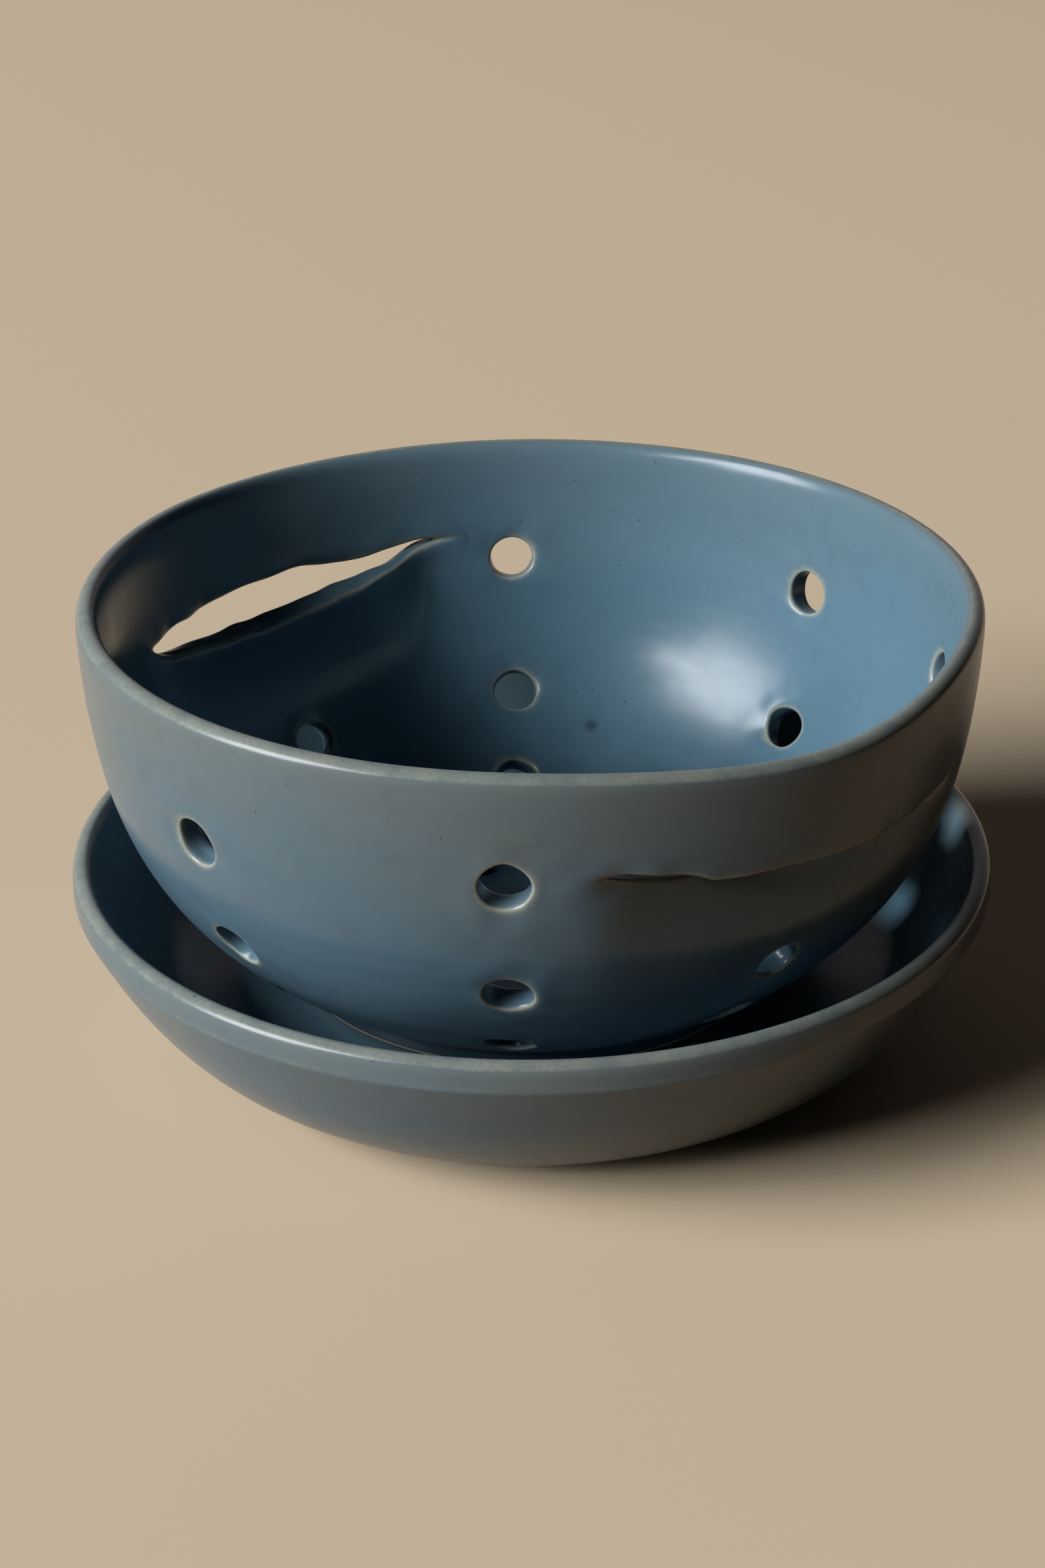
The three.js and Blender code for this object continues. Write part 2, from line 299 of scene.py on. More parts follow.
class SaucerSizes(bpy.types.PropertyGroup):
    """Sizes of the drip saucer."""

    lip: length("Lip", "Thickness of the rounded lip", 4.2 * MM)
    lip_roll: length("Lip roll", "How far the lip's inner side takes to round over", 3.4 * MM)
    band: length("Rim band", "Height of the upright band under the lip", 3.2 * MM)
    band_edge: length("Band edge", "How tight the break under the band is", 0.7 * MM)
    wall: length("Wall", "Thickness of the wall", 5 * MM)
    floor: length("Floor", "Thickness of the floor", 7.2 * MM)
    sweep: length("Floor sweep", "Width of the curve from the wall into the floor", 8 * MM)
    foot_radius: length("Foot radius", "Outer radius of the foot ring", 54 * MM)
    foot_width: length("Foot width", "Width of the foot ring", 6.5 * MM)
    foot_height: length("Foot height", "Height of the foot ring outside", 1.8 * MM)
    foot_hollow: length("Foot hollow", "Depth of the hollow inside the foot ring", 6.4 * MM)
    foot_edge: length("Foot edge", "Softened edge of the foot ring", 0.6 * MM)
    upper: fullness("Upper fullness", "Belly curve's upper handle, inwards and downwards", (0.18, 0.38))
    lower: fullness("Lower fullness", "Belly curve's lower handle, inwards and downwards", (0.47, 0.92))
    drip: length("Drip", "How far the run of glaze stands out", 0.9 * MM)
    drip_angle: turn("Drip angle", "Side of the run of glaze", -92)
    drip_width: length("Drip width", "Width of the run of glaze", 11 * MM)
    drip_height: length("Drip height", "Height of the run of glaze", 4 * MM)
    drip_rise: length("Drip rise", "Height of its middle", 4 * MM)


class HandleSizes(bpy.types.PropertyGroup):
    """Sizes of the finger-grip handles: a slit under the rim and the wall below it pressed inwards."""

    slit_length: length("Slit length", "Length of the slit round the rim", 85 * MM)
    slit_fall: length("Slit fall", "How much lower the slit's right end is", 3.8 * MM)
    slit_gap: length("Slit gap", "Width of the knife cut", 1.2 * MM)
    slit_edge: length("Slit edge", "Rounding of the cut's edges", 1.0 * MM)
    press_reach: length("Press reach", "How far down the press is felt", 34 * MM)
    press_swell: share("Press swell", "How far the press is carried down the wall", 0.6)
    pull_spread: length("Pull spread", "How far along the rim the pull is felt", 33 * MM)
    pull_fade: length("Pull fade", "How far below the slit the pull is felt", 30 * MM)


class DrainSizes(bpy.types.PropertyGroup):
    """Sizes of the drain holes."""

    diameter: length("Hole diameter", "Diameter of a drain hole", 8.6 * MM)
    edge: length("Hole edge", "Rounding of a hole's edge", 0.8 * MM)
    top_depth: length("Top row depth", "Depth of the top row under the rim", 24.2 * MM)
    low_rise: length("Low row rise", "Height of the low row above the foot", 12.4 * MM)
    middle: share("Middle row", "Place of the middle row between the other two", 0.58)
    ring_radius: length("Floor ring radius", "Radius of the ring of holes in the floor", 22 * MM)
    ring_room: length("Floor ring room", "Clear floor on each side of that ring", 6.5 * MM)


class GlazeColours(bpy.types.PropertyGroup):
    """Colours of the glaze and the clay."""

    slate: colour("Slate blue", "Glaze where it lies thick", 77, 102, 116)
    # Painted light: the inside is a bluer copy of the glaze that stands in for the bluish window light and
    # sheen on the inner walls
    inside: colour("Inside blue", "Thicker glaze inside the pots", 79, 109, 125)
    mist: colour("Grey green", "Glaze where it thins towards a rim", 96, 106, 106)
    break_tan: colour("Breaking edge", "Clay showing through the glaze on edges", 152, 154, 138)
    # Pooled glaze, which is also painted shade that darkens the pots towards their feet
    pooled_blue_and_shade: colour("Pooled blue", "Glaze where it pools", 40, 58, 68)
    speck: colour("Dark speck", "Iron specks in the glaze", 42, 50, 54)
    fleck: colour("Pale fleck", "Pinholes and pale flecks", 196, 199, 192)
    clay: colour("Bare clay", "Unglazed stoneware on the feet", 176, 152, 124)


class StageSizes(bpy.types.PropertyGroup):
    """The floor, the light and the camera."""

    floor: colour("Floor", "Pale floor", 208, 188, 160)
    floor_bounce: colour("Floor's bounce", "What the floor throws back on the pots", 102, 70, 40)
    window_azimuth: turn("Window azimuth", "Side that the window light comes from", -159)
    window_rise: turn("Window rise", "How high the window light stands", 26)
    window_width: length("Window width", "Width of the window light", 6.4)
    window_height: length("Window height", "Height of the window light", 7.5)
    window_power: power("Window power", "Power of the window light", 3050)
    pane_azimuth: turn("Pane azimuth", "Side that the window's brightest pane stands on", -138)
    pane_rise: turn("Pane rise", "How high that pane stands", 27)
    pane_width: length("Pane width", "Width of that pane", 2.6)
    pane_height: length("Pane height", "Height of that pane", 1.7)
    pane_power: power("Pane power", "Power of that pane's light", 390)
    light_distance: length("Light distance", "Distance of the window and its pane", 13.0)
    light_colour: colour("Light colour", "Colour of the window and its pane", 250, 252, 255)
    near_sky: colour("Light by the window", "Soft light from the window's side", 46, 48, 52)
    far_sky: colour("Light away from it", "Soft light from the other side", 16, 15, 14)
    back_light: colour("Light from behind", "Soft light from behind the pots", 150, 143, 145)
    lens: number("Lens", "Focal length on a 36 mm sensor", 71.94, unit="CAMERA")
    camera: numbers("Camera", "Camera position", (0.0, -0.5347, 0.3035), subtype="TRANSLATION")
    pitch: turn("Pitch", "How far the camera looks down", 25.443)
    yaw: turn("Yaw", "How far the camera turns right", -0.174)
    roll: turn("Roll", "How far the camera leans", -0.444)


class BerryBowlSettings(bpy.types.PropertyGroup):
    """All settings of the berry bowl."""

    bowl: PointerProperty(type=BowlSizes)
    saucer: PointerProperty(type=SaucerSizes)
    handle: PointerProperty(type=HandleSizes)
    drain: PointerProperty(type=DrainSizes)
    glaze: PointerProperty(type=GlazeColours)
    stage: PointerProperty(type=StageSizes)


def smoothstep(value, low, high):
    part = min(1.0, max(0.0, (value - low) / (high - low)))
    return part * part * (3 - 2 * part)


def wrapped(angle):
    """An angle between minus and plus half a turn."""
    return math.atan2(math.sin(angle), math.cos(angle))


def upright(spot, angle):
    """A (radius, height) point turned to an angle about +Z."""
    return Vector((spot.x * math.cos(angle), spot.x * math.sin(angle), spot.y))


class Wall:
    """A thrown wall: its outer curve falls from under the lip (share 0) to the foot (share 1)."""

    def __init__(self, sizes, radius, height):
        top = Vector((radius, height))
        bottom = Vector((sizes.foot_radius + sizes.foot_edge, sizes.foot_height))
        handles = [
            Vector((top.x + (bottom.x - top.x) * inwards, top.y + (bottom.y - top.y) * downwards))
            for inwards, downwards in (sizes.upper, sizes.lower)
        ]
        self.knots = (top, *handles, bottom)
        self.thickness = sizes.wall

    def outside(self, along):
        a, b, c, d = self.knots
        rest = 1 - along
        return a * rest**3 + b * (3 * rest**2 * along) + c * (3 * rest * along**2) + d * along**3

    def inward(self, along):
        a, b, c, d = self.knots
        rest = 1 - along
        slope = (b - a) * rest**2 + (c - b) * (2 * rest * along) + (d - c) * along**2
        return Vector((slope.y, -slope.x)).normalized()

    def inside(self, along):
        return self.outside(along) + self.inward(along) * self.thickness

    def face(self, side, along):
        """The outside for side 0, the inside for side 1."""
        return self.inside(along) if side else self.outside(along)

    def share_at(self, height):
        low, high = 0.0, 1.0
        while high - low > SHARE_STEP:
            middle = (low + high) / 2
            if self.outside(middle).y > height:
                low = middle
            else:
                high = middle
        return low

    def lengths(self):
        """Length of the outer curve from its top to each of many even shares."""
        spots = [self.outside(i / LENGTH_SAMPLES) for i in range(LENGTH_SAMPLES + 1)]
        lengths = [0.0]
        for here, there in zip(spots, spots[1:]):
            lengths.append(lengths[-1] + (there - here).length)
        return lengths

    def speed(self, along):
        """Length of the outer curve per share at one place."""
        run = self.outside(along + SPEED_STEP) - self.outside(along - SPEED_STEP)
        return run.length / (2 * SPEED_STEP)

    def even_shares(self, count):
        """Shares that cut the outer curve into equal lengths."""
        lengths = self.lengths()
        marks = [lengths[-1] * i / count for i in range(1, count)]
        steps = [next(k for k, run in enumerate(lengths) if run >= mark) for mark in marks]
        return [0.0, *[step / LENGTH_SAMPLES for step in steps], 1.0]


class Turned:
    """A bmesh turned on the wheel from an outline, with its vertices kept by row and segment.

    Its vertices are marked: cut is 1 above and -1 below a slit, thin is how thin the glaze runs, inner is 1
    inside the pot, and worn is 1 on an edge that the sponge has rounded.
    """

    def __init__(self, outline, segments, closed=False):
        self.mesh = bmesh.new()
        self.segments = segments
        layers = self.mesh.verts.layers
        self.row = layers.int.new("row")
        self.cut = layers.float.new("cut")
        self.thin = layers.float.new("thin")
        self.inner = layers.float.new("inner")
        self.worn = layers.float.new("worn")
        self.soft = self.mesh.edges.layers.int.new("soft")
        self.across = {}
        verts = [self.mesh.verts.new((spot.x, 0.0, spot.y)) for spot in outline]
        for i, vert in enumerate(verts):
            vert[self.row] = i
        edges = [self.mesh.edges.new(pair) for pair in self.neighbours(verts, closed)]
        bmesh.ops.spin(self.mesh, geom=verts + edges, cent=(0, 0, 0), axis=(0, 0, 1), dvec=(0, 0, 0),
                       angle=2 * math.pi, steps=segments, use_merge=True, use_duplicate=False)
        bmesh.ops.remove_doubles(self.mesh, verts=self.mesh.verts[:], dist=MERGE_DISTANCE)
        self.grid = {}
        for vert in self.mesh.verts:
            self.grid[vert[self.row], self.nearest_segment(self.angle_of(vert.co))] = vert

    @staticmethod
    def neighbours(verts, closed):
        return list(zip(verts, verts[1:] + verts[:1])) if closed else list(zip(verts, verts[1:]))

    @staticmethod
    def angle_of(spot):
        return math.atan2(spot.y, spot.x)

    def angle(self, segment):
        return wrapped(2 * math.pi * segment / self.segments)

    def nearest_segment(self, angle):
        return round(angle * self.segments / (2 * math.pi)) % self.segments

    def at(self, row, segment):
        return self.grid[row, segment % self.segments]

    def edges_along(self, verts, closed=False):
        return [self.mesh.edges.get(pair) for pair in self.neighbours(verts, closed)]

    def block(self, rows, segment, half):
        """The vertices inside a block of three rows, and those round it from its first row's left on."""
        first, middle, last = rows
        steps = list(range(-half, half + 1))
        inside = [self.at(middle, segment + step) for step in steps[1:-1]]
        ring = [self.at(first, segment + step) for step in steps]
        ring.append(self.at(middle, segment + half))
        ring += [self.at(last, segment + step) for step in reversed(steps)]
        ring.append(self.at(middle, segment - half))
        return inside, ring

    def mark(self, layer, rows, value):
        for vert in self.mesh.verts:
            if vert[self.row] in rows:
                vert[layer] = value

    def bare(self, rows):
        """Leaves the faces between these rows unglazed."""
        for face in self.mesh.faces:
            if all(vert[self.row] in rows for vert in face.verts):
                face.material_index = 1

    def join(self, edges, kind):
        """Joins two loops or chains of edges by faces, and marks them as edges of this kind."""
        for edge in edges:
            edge[self.soft] = kind
        strip = bmesh.ops.bridge_loops(self.mesh, edges=edges)
        self.across.update(dict.fromkeys(strip["edges"]))

    def halve(self):
        """Cuts every joined strip along its middle; elements held from before are gone after it."""
        bmesh.ops.subdivide_edges(self.mesh, edges=list(self.across), cuts=1)
        self.across.clear()
        self.grid.clear()

    def soften(self, kind, width):
        """Rounds the edges of one kind, where the glaze then runs thin."""
        edges = [edge for edge in self.mesh.edges if edge[self.soft] == kind]
        softened = bmesh.ops.bevel(
            self.mesh,
            geom=edges,
            offset=width,
            offset_type="OFFSET",
            segments=BEVEL_SEGMENTS,
            profile=0.5,
            affect="EDGES",
            clamp_overlap=False,
            loop_slide=True,
            material=-1,
        )
        rounded = set(softened["faces"])
        for vert in softened["verts"]:
            vert[self.thin] = 1.0 if rounded.issuperset(vert.link_faces) else EDGE_THINNESS
            vert[self.worn] = 1.0

    def finished(self, name, materials):
        """The smooth object, still in the frame that it was turned in."""
        bmesh.ops.recalc_face_normals(self.mesh, faces=self.mesh.faces[:])
        for face in self.mesh.faces:
            face.smooth = True
        cage = bpy.data.meshes.new(name)
        self.mesh.to_mesh(cage)
        self.mesh.free()
        for material in materials:
            cage.materials.append(material)
        piece = bpy.data.objects.new(name, cage)
        bpy.context.scene.collection.objects.link(piece)
        rounding = piece.modifiers.new("Rounding", "SUBSURF")
        rounding.levels = SMOOTH_LEVELS
        rounding.render_levels = SMOOTH_LEVELS
        evaluated = piece.evaluated_get(bpy.context.evaluated_depsgraph_get())
        rounded = bpy.data.meshes.new_from_object(evaluated)
        piece.modifiers.clear()
        piece.data = rounded
        bpy.data.meshes.remove(cage)
        rounded.name = name
        return piece


def swollen(radius, step):
    """The control radius whose subdivided circle, with this angle between points, has the given radius."""
    return radius * 3 / (2 + math.cos(step))


def lip_over(radius, top, width, roll):
    """A rounded lip from its inner side, which rolls over by its own height, to its outer side."""
    half = swollen(width / 2, math.pi / len(LIP_ANGLES))
    middle = radius - width / 2
    crest = top - width / 2 + half
    spots = []
    for angle in LIP_ANGLES:
        fall = roll if angle < math.pi / 2 else half
        spots.append(Vector((middle - half * math.cos(angle), crest - fall * (1 - math.sin(angle)))))
    return spots


class Sweep:
    """The inner face of a wall and the curve by which it runs into the floor."""

    def __init__(self, wall, shares, floor_height, width):
        self.wall = wall
        lowest = floor_height + wall.thickness * CLEAR_OF_FLOOR
        self.clear = [along for along in shares if wall.inside(along).y > lowest]
        above, last = wall.inside(self.clear[-2]), wall.inside(self.clear[-1])
        corner = last + (last - above) * ((floor_height - last.y) / (last.y - above.y))
        self.knots = (last, corner, Vector((corner.x - width, floor_height)))
        self.length = (corner - last).length + width

    def bend(self, part):
        last, corner, edge = self.knots
        return last * (1 - part)**2 + corner * (2 * part * (1 - part)) + edge * part**2

    def spot(self, along):
        """The inner face at a share of the wall, carried on into the curve."""
        end = self.clear[-1]
        if along <= end:
            return self.wall.inside(along)
        return self.bend(min(1.0, (along - end) * self.wall.speed(end) / self.length))

    def curve(self):
        return [self.bend(i / SWEEP_STEPS) for i in range(1, SWEEP_STEPS + 1)]


def foot_ring(sizes, hollow):
    """A foot ring from the top of its outer side round its standing face to the hollow under the floor."""
    outer, edge = sizes.foot_radius, sizes.foot_edge
    inner = outer - sizes.foot_width
    return [
        Vector((outer, sizes.foot_height)),
        Vector((outer, edge)),
        Vector((outer - edge, 0.0)),
        Vector((inner + edge, 0.0)),
        Vector((inner, edge)),
        Vector((inner - edge, hollow)),
    ]


class Handling:
    """What the hands did to the cut clay at the handles, in the bowl's own frame."""

    def __init__(self, sizes, rim_radius, height, wall):
        self.sizes = sizes
        self.rim_radius = rim_radius
        self.height = height
        self.wall = wall

    def along(self, handle, angle):
        """Distance round the rim from a handle's middle, growing to the right as seen from outside."""
        return wrapped(angle - handle.centre) * self.rim_radius

    def slit_height(self, handle, along):
        part = min(0.5, max(-0.5, along / self.sizes.slit_length))
        return self.height - handle.depth - self.sizes.slit_fall * part

    def slit_ends(self, handle):
        half = self.sizes.slit_length / 2 / self.rim_radius
        return handle.centre - half, handle.centre + half

    def press(self, handle, along, above):
        """Share of the full press at one place under a slit, and how steeply it changes with height."""
        sizes = self.sizes
        first, last = handle.pressed
        aside = (2 * along - first - last) / (last - first)
        taper = handle.tapers[aside > 0]
        across = math.cos(min(1.0, abs(aside)) * math.pi / 2) ** taper
        fade = max(0.0, 1 + above / sizes.press_reach)
        swell = 1 + sizes.press_swell * (1 - fade)
        slope = (2 * fade * swell - fade**2 * sizes.press_swell) / sizes.press_reach
        return across * fade**2 * swell, across * slope

    def moved(self, spot, edge):
        """A point of the wall once the handles are made; edge is 1 above a slit and -1 below it."""
        sizes = self.sizes
        radius = math.hypot(spot.x, spot.y)
        angle = math.atan2(spot.y, spot.x)
        outwards, upwards = 0.0, 0.0
        for handle in HANDLES:
            along = self.along(handle, angle)
            above = spot.z - self.slit_height(handle, along)
            pull = math.exp(-(along / sizes.pull_spread) ** 2) * smoothstep(above, -sizes.pull_fade, 0.0)
            outwards += handle.bulge * pull
            upwards -= handle.dip * pull
            if edge < 0 or (edge == 0 and above < 0):
                press, slope = self.press(handle, along, min(0.0, above))
                inside = max(0.0, self.wall.outside(self.wall.share_at(spot.z)).x - radius)
                outwards -= handle.press * press
                upwards -= handle.drop * press + handle.press * slope * min(inside, self.wall.thickness)
        scale = (radius + outwards) / radius
        return Vector((spot.x * scale, spot.y * scale, spot.z + upwards))

    def marked(self, spot, worn, cut):
        """A point with the marks of the hand: uneven cut edges, and a nib where two cuts met."""
        angle = math.atan2(spot.y, spot.x)
        spot = spot + noise.noise_vector(spot / WOBBLE_SIZE) * (WOBBLE * worn)
        for handle in HANDLES:
            past = self.along(handle, angle) - handle.nib_place
            spread = handle.nib_spreads[past > 0]
            spot.z -= handle.nib * max(0.0, cut) * math.exp(-(past / spread) ** 2)
        return spot

    def mark(self, mesh):
        """Leaves the marks of the hand on the finished bowl, the same ones on each run."""
        noise.seed_set(WOBBLE_SEED)
        worn, cut = (mesh.attributes[name].data for name in ("worn", "cut"))
        for vert, wear, edge in zip(mesh.vertices, worn, cut):
            vert.co = self.marked(vert.co, wear.value, edge.value)


class ColanderBowl:
    """Throws, drills, slits and presses the bowl, in its own frame with its foot at height 0."""

    # How far the grid is drawn to a hole, to a slit and past a slit's ends
    PIN_SPREAD = 9 * MM
    SLIT_SPREAD = 14 * MM
    SLIT_RUNOUT = 12 * MM

    # Half the segments in the block of faces that a hole is cut from
    WALL_BLOCK = 1
    FLOOR_BLOCK = 4

    def __init__(self, settings):
        self.sizes, self.drain, self.cut = settings.bowl, settings.drain, settings.handle
        sizes = self.sizes
        self.height = BOWL_HIGH.z - BOWL_LOW.z
        self.floor_height = sizes.foot_height + sizes.floor
        self.wall = Wall(sizes, sizes.rim_radius, self.height - sizes.lip / 2)
        self.hands = Handling(self.cut, sizes.rim_radius, self.height, self.wall)
        self.shares = self.wall.even_shares(WALL_ROWS)

    def throw(self):
        """Turns the closed outline from the bore in the floor up the inside and down the outside."""
        sizes, drain = self.sizes, self.drain
        self.sweep = Sweep(self.wall, self.shares, self.floor_height, sizes.sweep)
        sweep = self.sweep.curve()
        bore = drain.diameter / 2
        rings = [drain.ring_radius + side * drain.ring_room for side in (-1, 0, 1)]
        top_floor = [Vector((radius, self.floor_height)) for radius in [bore, *rings]]
        rolled, *lip = lip_over(sizes.rim_radius, self.height, sizes.lip, sizes.lip_roll)
        inner = [*[self.wall.inside(along) for along in reversed(self.sweep.clear[1:])], rolled]
        outer = [self.wall.outside(along) for along in self.shares]
        foot = foot_ring(sizes, sizes.foot_height)
        under = [Vector((radius, sizes.foot_height)) for radius in [*reversed(rings), bore]]
        half_way = [Vector((bore, sizes.foot_height + sizes.floor / 2))]
        outline = [*top_floor, *reversed(sweep), *inner, *lip, *outer, *foot, *under, *half_way]
        first_inner = len(top_floor) + len(sweep)
        first_lip = first_inner + len(inner)
        first_outer = first_lip + len(lip)
        first_foot = first_outer + len(outer)
        first_under = first_foot + len(foot)
        self.wall_rows = {(0, i): first_outer + i for i in range(len(outer))}
        self.wall_rows.update({(1, i): first_lip - 1 - i for i in range(len(inner) + len(sweep))})
        self.straight_rows = range(first_inner, first_foot)
        last_under = first_under + len(rings)
        self.floor_rows = {0: range(first_under, last_under), 1: range(len(rings), 0, -1)}
        self.turned = Turned(outline, BOWL_SEGMENTS, closed=True)
        self.turned.mark(self.turned.thin, range(first_lip + 1, first_outer), LIP_THINNESS)
        self.turned.mark(self.turned.inner, range(first_lip + 1), 1.0)
        self.turned.bare(range(first_foot + 1, first_under - 1))

    def level(self, i):
        return self.wall.outside(self.shares[i]).y

    def row_near(self, height):
        return min(range(len(self.shares)), key=lambda i: abs(self.level(i) - height))

    def slit_row(self, handle):
        return self.row_near(self.hands.slit_height(handle, 0.0))

    def wall_holes(self):
        """Angle and height of every hole in the wall."""
        drain = self.drain
        top = self.height - drain.top_depth
        rows = (top, top + (drain.low_rise - top) * drain.middle, drain.low_rise)
        for column in DRAIN_COLUMNS:
            for row, hole in zip(rows, column):
                if hole:
                    yield math.radians(hole[0]), row + hole[1] * MM

    def pins(self):
        """Angle and height of each grid node that is drawn to a hole or a slit's end, and its shift."""
        turned = self.turned
        for angle, height in self.wall_holes():
            at = turned.angle(turned.nearest_segment(angle))
            level = self.level(self.row_near(height))
            yield at, level, wrapped(angle - at), height - level
        for handle in HANDLES:
            for end in self.hands.slit_ends(handle):
                at = turned.angle(turned.nearest_segment(end))
                yield at, self.level(self.slit_row(handle)), wrapped(end - at), 0.0

    def drawn(self, angle, height, pins):
        """An angle and height of the wall's grid, drawn to the holes and slits near it."""
        new_angle, new_height = angle, height
        for at, level, shift, rise in pins:
            apart = math.hypot(wrapped(angle - at) * self.sizes.rim_radius, height - level)
            pull = math.exp(-(apart / self.PIN_SPREAD) ** 2)
            new_angle += shift * pull
            new_height += rise * pull
        for handle in HANDLES:
            along = self.hands.along(handle, angle)
            level = self.level(self.slit_row(handle))
            window = 1 - smoothstep(abs(along) - self.cut.slit_length / 2, 0.0, self.SLIT_RUNOUT)
            pull = window * math.exp(-((height - level) / self.SLIT_SPREAD) ** 2)
            new_height += (self.hands.slit_height(handle, along) - level) * pull
        return new_angle, new_height

    def draw_grid(self):
        """Moves the wall's grid so that its nodes meet the holes and its rows follow the slits."""
        pins = list(self.pins())
        for (side, i), row in self.wall_rows.items():
            if 0 < i < WALL_ROWS and row in self.straight_rows:
                for segment in range(BOWL_SEGMENTS):
                    angle, height = self.drawn(self.turned.angle(segment), self.level(i), pins)
                    spot = self.wall.face(side, self.wall.share_at(height))
                    self.turned.at(row, segment).co = upright(spot, angle)

    def on_wall(self, angle, height, side, right, down):
        """The point of a wall face that lies this far right of and below a hole's middle."""
        along = self.wall.share_at(height)
        along += down / self.wall.speed(along)
        spot = self.sweep.spot(along) if side else self.wall.outside(along)
        return upright(spot, angle + right / spot.x)

    def on_floor(self, angle, side, right, inwards):
        """The point of a floor face that lies this far right of and inside a hole's middle."""
        height = self.floor_height if side else self.sizes.foot_height
        return Matrix.Rotation(angle, 3, "Z") @ Vector((self.drain.ring_radius - inwards, right, height))

    def open_hole(self, rows_of, segment, half, place, kind):
        """Cuts one hole through the outer and inner face and joins them."""
        mesh = self.turned.mesh
        edges = []
        for side, rows in rows_of.items():
            inside, ring = self.turned.block(rows, segment, half)
            bmesh.ops.delete(mesh, geom=inside, context="VERTS")
            step = 2 * math.pi / len(ring)
            radius = swollen(self.drain.diameter / 2, step)
            for k, vert in enumerate(ring):
                round_angle = (k - half) * step - math.pi / 2
                vert.co = place(side, radius * math.cos(round_angle), radius * math.sin(round_angle))
            edges += self.turned.edges_along(ring, closed=True)
        self.turned.join(edges, kind)

    def drill(self):
        """Opens every hole in the wall and the floor."""
        turned = self.turned
        for angle, height in self.wall_holes():
            i = self.row_near(height)
            rows_of = {side: [self.wall_rows[side, i + step] for step in (-1, 0, 1)] for side in (0, 1)}
            place = partial(self.on_wall, angle, height)
            self.open_hole(rows_of, turned.nearest_segment(angle), self.WALL_BLOCK, place, HOLE_EDGE)
        for k in range(FLOOR_RING_HOLES):
            segment = k * BOWL_SEGMENTS // FLOOR_RING_HOLES
            place = partial(self.on_floor, turned.angle(segment))
            self.open_hole(self.floor_rows, segment, self.FLOOR_BLOCK, place, PLAIN_EDGE)

    def slit(self):
        """Cuts the slits open."""
        turned = self.turned
        cuts = []
        for handle in HANDLES:
            i = self.slit_row(handle)
            first, last = (turned.nearest_segment(end) for end in self.hands.slit_ends(handle))
            count = (last - first) % BOWL_SEGMENTS
            for side in (0, 1):
                path = [turned.at(self.wall_rows[side, i], first + k) for k in range(count + 1)]
                cuts += turned.edges_along(path)
        bmesh.ops.split_edges(turned.mesh, edges=cuts)
        for vert in turned.mesh.verts:
            if vert.is_boundary:
                heights = [face.calc_center_median().z for face in vert.link_faces]
                vert[turned.cut] = (max(heights) > vert.co.z) - (min(heights) < vert.co.z)
        for vert in turned.mesh.verts:
            vert.co.z += vert[turned.cut] * self.cut.slit_gap / 2

    def press(self):
        """Presses the wall in and pulls the rim out at the handles."""
        for vert in self.turned.mesh.verts:
            vert.co = self.hands.moved(vert.co, vert[self.turned.cut])

    def close_slits(self):
        """Joins the outer and inner face along both edges of each slit."""
        turned = self.turned
        groups = {}
        for edge in turned.mesh.edges:
            if edge.is_boundary:
                middle = turned.angle_of(edge.verts[0].co + edge.verts[1].co)
                nearest = min(HANDLES, key=lambda handle: abs(self.hands.along(handle, middle)))
                upper = sum(vert[turned.cut] for vert in edge.verts) > 0
                groups.setdefault((nearest, upper), []).append(edge)
        for edges in groups.values():
            turned.join(edges, SLIT_EDGE)

    def made(self, materials):
        """The finished bowl."""
        self.throw()
        self.draw_grid()
        self.drill()
        self.slit()
        self.press()
        self.close_slits()
        self.turned.halve()
        self.turned.soften(HOLE_EDGE, self.drain.edge)
        self.turned.soften(SLIT_EDGE, self.cut.slit_edge)
        piece = self.turned.finished("thrown_bowl", materials)
        self.hands.mark(piece.data)
        return piece


def thrown_saucer(sizes, materials):
    """The drip saucer, turned from its middle underneath round the rim to its middle inside."""
    radius = (SAUCER_HIGH.x - SAUCER_LOW.x) / 2
    height = SAUCER_HIGH.z - SAUCER_LOW.z
    floor_height = sizes.foot_hollow + sizes.floor
    band_foot = height - sizes.lip / 2 - sizes.band
    wall = Wall(sizes, radius, band_foot)
    shares = wall.even_shares(SAUCER_ROWS)
    tight = wall.share_at(band_foot - sizes.band_edge)
    sweep = Sweep(wall, shares, floor_height, sizes.sweep)
    foot = foot_ring(sizes, sizes.foot_hollow)
    hollow = [Vector((foot[-1].x * part, sizes.foot_hollow)) for part in SAUCER_HOLLOW_PARTS]
    belly = [wall.outside(along) for along in [0.0, tight, *shares[1:]]]
    band = [Vector((radius, band_foot + sizes.band_edge)), Vector((radius, height - sizes.lip / 2))]
    rolled, *lip = lip_over(radius, height, sizes.lip, sizes.lip_roll)
    inner = [rolled, *[wall.inside(along) for along in sweep.clear]]
    curve = sweep.curve()
    floor = [Vector((curve[-1].x * part, floor_height)) for part in SAUCER_FLOOR_PARTS]
    outline = [*hollow, *reversed(foot), *reversed(belly), *band, *reversed(lip), *inner, *curve, *floor]
    first_foot = len(hollow)
    first_band = first_foot + len(foot) + len(belly)
    first_lip = first_band + len(band)
    first_inner = first_lip + len(lip)
    turned = Turned(outline, SAUCER_SEGMENTS)
    turned.mark(turned.thin, range(first_lip, first_inner - 1), LIP_THINNESS)
    turned.mark(turned.thin, (first_band - 1, first_band), BREAK_THINNESS)
    turned.mark(turned.inner, range(first_inner, len(outline)), 1.0)
    turned.bare(range(first_foot + 1, first_foot + len(foot) - 1))
    piece = turned.finished("thrown_saucer", materials)
    for vert in piece.data.vertices:
        vert.co = dripped(sizes, vert.co)
    return piece


